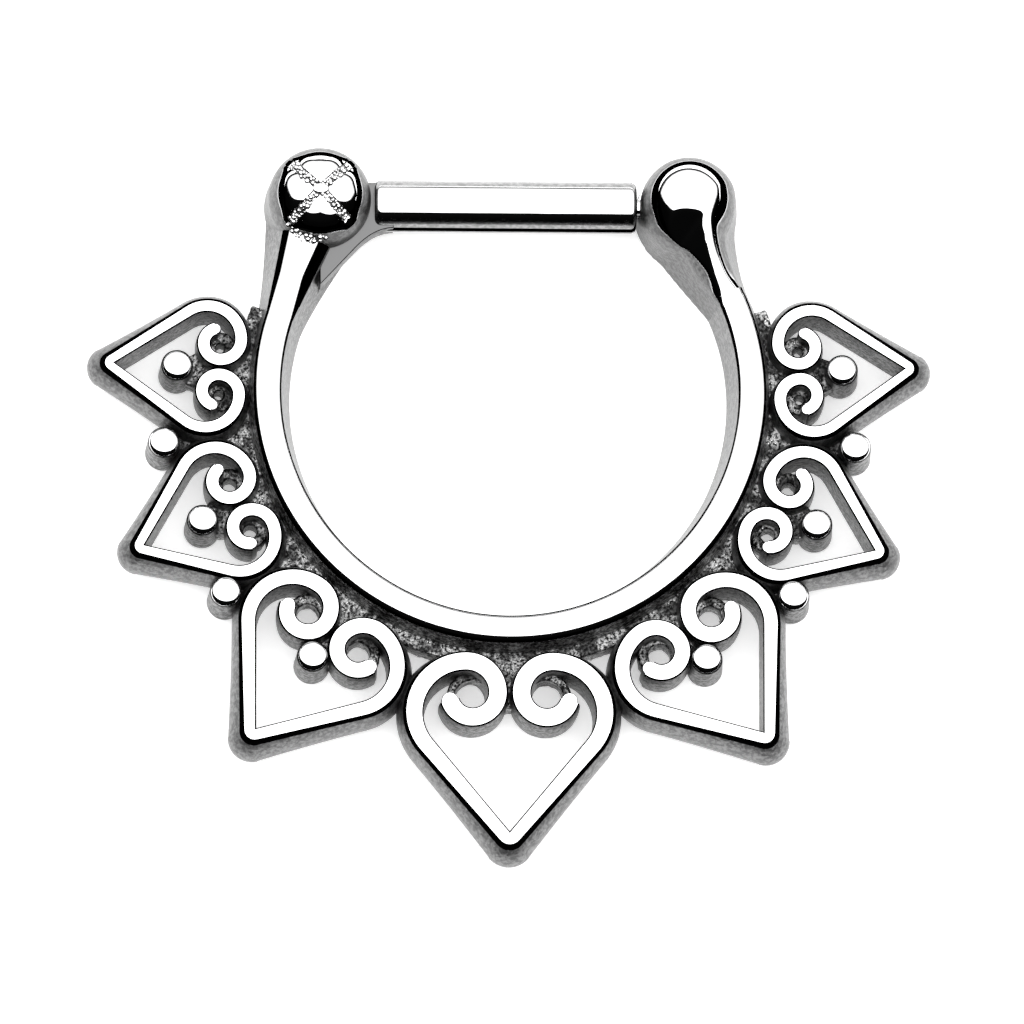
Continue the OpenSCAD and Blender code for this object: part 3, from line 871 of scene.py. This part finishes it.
def granule_tree():
    tree, dial, target = shape_tree("granules_along_a_line", {
        "Granule radius": 0.00005, "Spacing": 0.00009, "Unevenness": 0.3, "Jitter": 0.00002, "Seed": 5})
    line = node(tree, "GeometryNodeMeshToCurve", {"Mesh": dial["Geometry"]})
    spaced = node(tree, "GeometryNodeResampleCurve", {"Curve": line, "Length": dial["Spacing"]},
                  mode="LENGTH")
    ball = node(tree, "GeometryNodeMeshIcoSphere", {"Subdivisions": 2, "Radius": dial["Granule radius"]})
    least = sum_of(tree, "SUBTRACT", 1.0, dial["Unevenness"])
    most = sum_of(tree, "ADD", 1.0, sum_of(tree, "MULTIPLY", dial["Unevenness"], 0.4))
    vary = node(tree, "FunctionNodeRandomValue", {2: least, 3: most, "Seed": dial["Seed"]}, data_type="FLOAT")
    shake = node(tree, "FunctionNodeRandomValue", {0: (-1, -1, -1), 1: (1, 1, 1), "Seed": dial["Seed"]},
                 data_type="FLOAT_VECTOR")
    spread = node(tree, "ShaderNodeVectorMath", {0: shake, "Scale": dial["Jitter"]}, operation="SCALE")
    loose = node(tree, "GeometryNodeSetPosition", {"Geometry": spaced, "Offset": spread})
    placed = node(tree, "GeometryNodeInstanceOnPoints", {
        "Points": loose, "Instance": ball.outputs["Mesh"], "Scale": vary.outputs[1]})
    return close_tree(tree, dial, target, placed)


skin, beading, granules = skin_tree(), bead_tree(), granule_tree()
print("node trees:", skin.name, beading.name, granules.name)

# %% [markdown]
# Bar, tongue and pin
#
# The bar is what passes through the nose, so it is a plain polished rod with softened ends. Its left end carries a
# flat tongue that turns on the pin inside the ball, and its right end a thin nib that springs over the groove's edge.

# %% Turn the bar and its tongue
end_round, tongue_bevel, root_reach = 0.14, 0.00003, 0.45


def curve(start, towards, end, steps):
    return [tuple((1 - t) ** 2 * start + 2 * t * (1 - t) * towards + t * t * end)
            for t in np.linspace(0, 1, steps + 1)]


def turned_bar():
    r, length, end = bar_radius, bar_end - bar_start, nib_end - bar_start
    turns = [(1 - math.sin(a), 1 - math.cos(a)) for a in np.radians((15, 30, 45, 60, 75, 90))]
    rows = [(0, 0), (0.6 * (r - end_round), 0), (r - end_round, 0)]
    rows += [(r - end_round * inwards, end_round * up) for inwards, up in turns]
    rows += [(r, end_round + 0.05)] + [(r, length * k / 12) for k in range(1, 12)]
    rows += [(r, length - end_round - 0.05), (r, length - end_round)]
    rows += [(r - end_round * up, length - end_round * inwards) for inwards, up in turns]
    rows += [(nib_radius + 0.02, length), (nib_radius, length + 0.02), (nib_radius, end - 0.05),
             (nib_radius - 0.02, end - 0.015), (nib_radius - 0.06, end), (0, end)]
    points, faces = revolve(rows, 128)
    return [(z + bar_start, y - bar_drop, x + bar_height) for x, y, z in points], faces


corner, heel, root = np.array([bar_start, stem_low]), np.array([0.02, -heel_reach]), np.array([root_reach, 0])
tongue_outline = [tuple(heel)] + curve(corner + 0.35 * (heel - corner), corner, corner + root, 16)
tongue_outline += [(bar_start + root_reach, stem_top)]
tongue_outline += arc(tongue_round, math.degrees(math.asin(stem_top / tongue_round)), 268.3, 3)
bar_piece = make_piece("bar_rod", *moved(turned_bar(), hinge))
tongue = flat_cutter("bar_tongue", tongue_outline, tongue_half)
cut(tongue, [pin_hole(0.02, 2)])
soften = tongue.modifiers.new("soften", "BEVEL")
soften.width, soften.segments, soften.limit_method, soften.angle_limit = tongue_bevel, 3, "ANGLE", math.radians(50)
freeze(tongue)
pin_profile = [(0, 0), (pin_radius - 0.04, 0), (pin_radius - 0.01, 0.01), (pin_radius, 0.04),
               (pin_radius, pin_top - 0.03), (pin_radius - 0.03, pin_top), (0, pin_top)]
pin_piece = make_piece("pin_rod", *moved(revolve(pin_profile, 64), hinge))
print("bar", triangles(bar_piece), "tongue", triangles(tongue), "triangles")

# %% [markdown]
# Set the beads and roll the milgrain
#
# The beads are cast with the rest, but each stands on its own post, so one tree grows them all from ten marked
# points. The crossed grooves of the hinge ball are filled with granules in uneven rows, and a few more rows lie
# where the ball meets its arm.

# %% Grow beads and granules
beads = grow(add_object("domed_beads", [(x, y, 0) for x, y, z in bead_spots], [], []), beading, "bead_steel", {
    "Bead radius": bead_radius / 1000, "Post height": bead_post / 1000, "Dome height": bead_dome / 1000}, 50)
mark_pits(beads.data, [1.0] * len(beads.data.vertices))

lines = []
for turn in (45, 135):
    # three rows a groove: how far off its middle, how deep, and where the row starts from the crossing
    for offset, sunk, start in ((-0.055, 0.045, 9), (0.055, 0.045, 8), (0.0, 0.085, 11)):
        lift = hinge_ball - sunk
        for side in (-1, 1):
            path = []
            for a in np.radians(np.linspace(start, 48 if (turn < 90) == (side > 0) else 52, 24)):
                flat = unit(turn) * lift * math.sin(side * a) + unit(turn + 90) * offset
                path.append((*(hinge + flat), hinge_z + lift * math.cos(a)))
            lines.append(path)
foot_turn = -arm_bearing(hinge)
for radius, height, wide in ((1.04, 1.66, 27), (1.1, 1.62, 22), (1.16, 1.6, 13)):
    lines.append([(*(hinge + radius * unit(foot_turn + a)), height) for a in np.linspace(-wide, wide, 20)])
line_points, line_edges = [], []
for path in lines:
    base = len(line_points)
    line_points += path
    line_edges += [(base + k, base + k + 1) for k in range(len(path) - 1)]
milgrain = grow(add_object("milgrain", line_points, line_edges, []), granules, "granule_steel", {
    "Granule radius": 0.000058, "Spacing": 0.00009, "Unevenness": 0.6, "Jitter": 0.000045, "Seed": 7}, 60)

# a low lens of metal stands where the grooves cross
lens_radius, lens_rise, lens_wide, lens_long, lens_sunk = 0.17, 0.07, 1.15, 0.8, 0.055
lens_points, lens_faces = revolve(
    [(0, 0)] + [(lens_radius * math.sin(q), -lens_rise * math.cos(q)) for q in np.linspace(0.2, math.pi - 0.2, 20)]
    + [(0, lens_rise)], 48)
crossing = make_piece("crossing_lens", [
    (lens_wide * x + hinge[0], lens_long * y + hinge[1], z + ball_height - lens_sunk) for x, y, z in lens_points],
    lens_faces)
grow(web, skin, "cast_steel", {"Grain height": 0.00009, "Grain size": 0.00016, "Seed": 11}, 180)
print("beads", triangles(beads), "milgrain", triangles(milgrain), "web", triangles(web), "triangles")

# %% [markdown]
# Steel in three finishes
#
# All of it is one steel. The faces were buffed to a mirror, the walls only tumbled to a satin, and the sunken web
# left as cast. Shared effects sit in node groups, so that each finish is a short recipe of named dials. One group
# tells faces, edge lines and pitted walls apart by how the surface leans on the object itself, one makes fine
# scratches, and one the grain of the mould.

# %% Build the shared shader groups
def ramp(tree, value, low, high, start=0.0, end=1.0, kind="SMOOTHSTEP"):
    """Carries a value from one range to another."""
    return node(tree, "ShaderNodeMapRange", {
        "Value": value, "From Min": low, "From Max": high, "To Min": start, "To Max": end},
        interpolation_type=kind)


def shader_group(name, inputs, outputs):
    return new_tree("ShaderNodeTree", name, inputs,
                    {label: "Vector" if label == "Normal" else "Float" for label in outputs})


def give(group, target, results):
    for label, result in results.items():
        feed(group, target.inputs[label], result)
    return group


def face_group():
    """1 on faces turned up to the polishing wheel, the dark line where polishing stopped, and the pitted walls.
    The dark line is painted shade: a band of lean that the finish colours nearly black.
    """
    group, dial, target = shader_group(
        "polished_faces", {"Wall tilt": 0.56, "Face tilt": 0.66, "Line from": 0.5, "Line to": 0.66, "Lowest": 0.0},
        ("Mask", "Line", "Steep"))
    here = node(group, "ShaderNodeTexCoord").outputs
    slope = node(group, "ShaderNodeSeparateXYZ", {0: here["Normal"]}).outputs["Z"]
    height = node(group, "ShaderNodeSeparateXYZ", {0: here["Object"]}).outputs["Z"]
    high = sum_of(group, "GREATER_THAN", height, dial["Lowest"])
    band = sum_of(group, "MULTIPLY", sum_of(group, "GREATER_THAN", slope, dial["Line from"]),
                  sum_of(group, "LESS_THAN", slope, dial["Line to"]))
    upright = ramp(group, sum_of(group, "ABSOLUTE", slope), 0.24, 0.16)
    pitted = node(group, "ShaderNodeAttribute", attribute_name="pitted").outputs["Fac"]
    return give(group, target, {
        "Mask": sum_of(group, "MULTIPLY", ramp(group, slope, dial["Wall tilt"], dial["Face tilt"]), high),
        "Line": sum_of(group, "MULTIPLY", band, high), "Steep": sum_of(group, "MULTIPLY", upright, pitted)})


def scratch_group():
    """Faint polishing scratches in two directions."""
    group, dial, target = shader_group("polishing_scratches", {"Fineness": 9000.0, "Depth": 0.04}, ("Normal", "Mask"))
    here = node(group, "ShaderNodeTexCoord").outputs["Object"]
    sets = []
    for turn, stretch in ((25, 14), (-40, 18)):
        drawn = node(group, "ShaderNodeMapping", {
            "Vector": here, "Rotation": (0, 0, math.radians(turn)), "Scale": (1 / stretch, 1, 1)})
        sets.append(node(group, "ShaderNodeTexNoise", {
            "Vector": drawn, "Scale": dial["Fineness"], "Detail": 2}))
    both = sum_of(group, "MULTIPLY", *sets)
    bump = node(group, "ShaderNodeBump", {"Distance": 0.00002, "Strength": dial["Depth"], "Height": both})
    return give(group, target, {"Normal": bump, "Mask": both})


def grain_group():
    """The pebbled skin that metal takes from its mould, with bright crumbs in it and patches worn dark."""
    group, dial, target = shader_group(
        "mould_grain", {"Fineness": 12000.0, "Depth": 0.6, "Worn": 0.0, "Seed": 2.0}, ("Normal", "Mask", "Sparkle"))
    here = node(group, "ShaderNodeTexCoord").outputs["Object"]
    noise = node(group, "ShaderNodeTexNoise", {
        "Vector": here, "Scale": dial["Fineness"], "W": dial["Seed"], "Detail": 4, "Roughness": 0.65},
        noise_dimensions="4D")
    cells = node(group, "ShaderNodeTexVoronoi", {"Vector": here, "Scale": dial["Fineness"]}).outputs["Distance"]
    bump = node(group, "ShaderNodeBump", {"Distance": 0.00005, "Strength": dial["Depth"], "Height": noise})
    patches = node(group, "ShaderNodeTexNoise", {
        "Vector": here, "Scale": sum_of(group, "MULTIPLY", dial["Fineness"], 0.2), "W": dial["Seed"]},
        noise_dimensions="4D")
    kept = ramp(group, patches, 0.42, 0.6, sum_of(group, "SUBTRACT", 1.0, dial["Worn"]))
    return give(group, target, {
        "Normal": bump, "Mask": sum_of(group, "MULTIPLY", ramp(group, noise, 0.42, 0.6), kept),
        "Sparkle": sum_of(group, "MULTIPLY", ramp(group, cells, 0.24, 0.08), kept)})


face_finder, scratches, grain = face_group(), scratch_group(), grain_group()
print("shader groups:", face_finder.name, scratches.name, grain.name)

# %% [markdown]
# The finishes themselves
#
# A metal in the shader is only a tint and a roughness. The faces take a roughness near nothing, so they carry the
# light as pure white and the dark room as pure black. The walls take much more, so they blur both to grey, and
# their tints are kept far darker than the faces' as painted shade. Two tones mottle a wall as tumbling leaves it,
# and on a pitted wall they lie further apart; on the hearts' inner walls and scrolls the pitted tones are darker
# as well, painted shade in those hollows. The steep flat along each face's edge is painted nearly black, a painted
# dark line that stands for the shade there and the dark room it reflects.

# %% Mix the finishes
def use_group(tree, group, **values):
    return node(tree, "ShaderNodeGroup", {
        key.replace("_", " ").capitalize(): value for key, value in values.items()}, node_tree=group).outputs


def mix(tree, share, low, high):
    """Two colours mixed by a mask. A plain number stands for a grey."""
    low, high = [(value, value, value, 1) if isinstance(value, float) else value for value in (low, high)]
    return node(tree, "ShaderNodeMix", {0: share, 6: low, 7: high}, data_type="RGBA").outputs[2]


def steel(name):
    material = named_finish(name)
    material.use_nodes = True
    shader = material.node_tree.nodes["Principled BSDF"]
    shader.inputs["Metallic"].default_value = 1
    return material, material.node_tree, shader.inputs


def polished_steel(name, wall=(0.07, 0.22), rough=(0.36, 0.04), tilts=(0.56, 0.66), line=(0.5, 0.68), lowest=0.0,
                   pits=0.5, face=0.93, painted_dark_line=0.002, pit_and_shade_tones=(0.006, 0.2)):
    """Mirror on the faces, satin on the walls. Tones and roughness are given as pairs, dark or wall first.
    The dark wall tones are painted shade besides the tumbled grain, and so are the darker pit tones on hearts.
    """
    material, tree, surface = steel(name)
    mask = use_group(tree, face_finder, wall_tilt=tilts[0], face_tilt=tilts[1], line_from=line[0], line_to=line[1],
                     lowest=lowest / 1000)
    marks = use_group(tree, scratches, fineness=9000.0, depth=0.05)
    skin_of = use_group(tree, grain, fineness=9500.0, depth=pits, seed=9.0)
    # painted shade too: the darker pit tones shade the hearts' inner walls and scrolls; the two-tone mottle is grain
    # painted shade: the wall tints sit far below the faces' steel, so the walls stay grey under the bright tent
    walls = mix(tree, mask["Steep"], mix(tree, skin_of["Mask"], *wall), mix(tree, skin_of["Mask"], *pit_and_shade_tones))
    body = mix(tree, mask["Mask"], walls, (face, face, face * 1.005, 1))
    normal = node(tree, "ShaderNodeMix", {0: mask["Mask"], 4: skin_of["Normal"], 5: marks["Normal"]},
                  data_type="VECTOR").outputs[1]
    # painted shade: the band of lean along each face's edge is coloured nearly black, standing for the dark room it
    # reflects
    feed(tree, surface["Base Color"], mix(tree, mask["Line"], body, painted_dark_line))
    feed(tree, surface["Roughness"], ramp(tree, mask["Mask"], 0.0, 1.0, *rough, "LINEAR"))
    # the same painted dark line also takes the tint out of the edge reflection
    feed(tree, surface["Specular Tint"], mix(tree, mask["Line"], 1.0, 0.0))
    feed(tree, surface["Normal"], normal)
    return material


def cast_steel(name, tones=(0.008, 0.5), sparkle=0.95):
    """Rough grey skin straight from the mould, with a few bright crumbs."""
    material, tree, surface = steel(name)
    skin_of = use_group(tree, grain, fineness=14000.0, depth=0.8, worn=0.88, seed=4.0)
    feed(tree, surface["Base Color"], mix(tree, skin_of["Sparkle"], mix(tree, skin_of["Mask"], *tones), sparkle))
    feed(tree, surface["Roughness"], ramp(tree, skin_of["Sparkle"], 0.0, 1.0, 0.3, 0.12, "LINEAR"))
    feed(tree, surface["Normal"], skin_of["Normal"])
    return material


ring_steel = polished_steel("ring_steel", wall=(0.12, 0.22), line=(0.4, 0.74), lowest=1.2, pit_and_shade_tones=(0.03, 0.6))
ball_steel = polished_steel("ball_steel", wall=(0.11, 0.17), tilts=(0.55, 0.6), line=(0.58, 0.71))
heart_steel = polished_steel("heart_steel", wall=(0.11, 0.2), tilts=(0.8, 0.9), line=(0.5, 0.8), lowest=1.19)
bead_steel = polished_steel("bead_steel", line=(0.3, 0.45), lowest=1.2)
# the rod's line band lies on its sides, so the painted dark line lays a black band along the bar below its white top
rod_steel = polished_steel("rod_steel", wall=(0.18, 0.28), rough=(0.16, 0.05), tilts=(0.72, 0.8), line=(0.1, 0.38),
                           pits=0.05)
# painted shade: the tongue's face is tinted dark grey, far darker than steel, while its roughness gives a real satin
satin_steel_with_painted_shade = polished_steel("satin_steel_with_painted_shade", wall=(0.06, 0.16), rough=(0.36, 0.3), line=(0.3, 0.92), pits=0.3,
                             face=0.13)
granule_steel = polished_steel("granule_steel", wall=(0.05, 0.25), rough=(0.25, 0.1), pits=0.1, face=0.8)
raw_steel = cast_steel("cast_steel")

on_frame = [(ring, ring_steel), (catch_piece, ball_steel), (hinge_piece, ball_steel), (web, raw_steel),
            (beads, bead_steel), (milgrain, granule_steel), (crossing, rod_steel)]
on_frame += [(piece, heart_steel) for piece in heart_pieces]
on_bar = [(bar_piece, rod_steel), (tongue, satin_steel_with_painted_shade)]
for piece, material in on_frame + on_bar + [(pin_piece, rod_steel)]:
    piece.data.materials.clear()
    piece.data.materials.append(material)
print("finishes set on", len(on_frame) + len(on_bar) + 1, "pieces")

# %% [markdown]
# Join the pieces to the measured frame
#
# Each piece now rides on the body it belongs to, so that the hinge opens here as it does in the physics. The measured
# solids stay hidden behind the pieces that stand for them.

# %% Ride and replace
for piece, material in on_frame:
    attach(piece, "frame")
    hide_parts("cast_frame")
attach(pin_piece, "frame")
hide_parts("hinge_pin")
for piece, material in on_bar:
    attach(piece, "bar")
    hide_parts("bar")
print("pieces ride on frame and bar")

# %% [markdown]
# A glowing table, a leaning tent of light and a dark room
#
# Small bright jewellery is shot on a light table, under a tent of white cloth that is lit from outside. Here the
# tent leans over the jewel from the side of the bar. A mirror face that looks up sees the tent and turns white. Its
# edges look past the rim into the dark room and turn black, which draws the outline, and a painted dark line on
# the edge flats deepens it as painted shade. The walls see the glowing table and turn grey, with painted shade in
# their dark tints. No lamps are needed.

# %% Lay the table and hang the tent
bpy.ops.mesh.primitive_plane_add(size=4, location=(0, 0, 0))
floor = bpy.context.object
floor.name = "pale_table"
paper = bpy.data.materials.new("white_paper")
paper.use_nodes = True
for socket, value in {"Base Color": (0.94, 0.94, 0.94, 1), "Roughness": 0.8, "Emission Color": (1, 1, 1, 1),
                      "Emission Strength": 0.42}.items():
    paper.node_tree.nodes["Principled BSDF"].inputs[socket].default_value = value
floor.data.materials.append(paper)

world = bpy.data.worlds.new("studio_room")
bpy.context.scene.world = world
world.use_nodes = True
sky = world.node_tree
direction = node(sky, "ShaderNodeTexCoord").outputs["Generated"]
tent_lean = node(sky, "ShaderNodeVectorMath", {0: direction, 1: (0.081, 0.724, 1)}, operation="DOT_PRODUCT")
up_share = node(sky, "ShaderNodeSeparateXYZ", {0: direction}).outputs["Z"]
cloth = ramp(sky, tent_lean.outputs["Value"], 0.31, 0.37, 0.003, 2.6)
hem = ramp(sky, up_share, 0.1, 0.14, 0.02)
lower_cloth = ramp(sky, up_share, 0.3, 0.6, 0.45)
background = sky.nodes["Background"].inputs
background["Color"].default_value = (1, 1, 1, 1)
feed(sky, background["Strength"], sum_of(sky, "MULTIPLY", sum_of(sky, "MULTIPLY", cloth, hem), lower_cloth))
bpy.context.scene.view_settings.view_transform = "Standard"
print("table and tent ready")

# %% [markdown]
# The camera
#
# The picture was taken from almost straight above, tipped twelve degrees towards the hearts' tips, with a long lens.
# So the ring stays nearly flat in the picture and only a sliver of each lower wall shows.

# %% Aim the camera
metres_wide, distance, camera_lean, camera_tilt = 0.02386, 0.4, math.radians(2), math.radians(12)
back = Vector((-math.sin(camera_lean), -math.sin(camera_tilt), math.cos(camera_tilt))).normalized()
up = (Vector((0, 1, 0)) - back * back.y).normalized()
right = up.cross(back)
aim = Vector((0.00004, (middle_y - 2.906) / 1000, ring_depth / 1000))
lens = bpy.data.cameras.new("long_lens")
lens.sensor_width = 36
lens.lens = lens.sensor_width * distance / metres_wide
lens.clip_start, lens.clip_end = 0.01, 20
camera = bpy.data.objects.new("camera", lens)
bpy.context.collection.objects.link(camera)
camera.matrix_world = Matrix((right, up, back)).transposed().to_4x4()
camera.location = aim + back * distance
bpy.context.scene.camera = camera
print("camera", [round(v, 3) for v in camera.location], "lens", round(lens.lens))
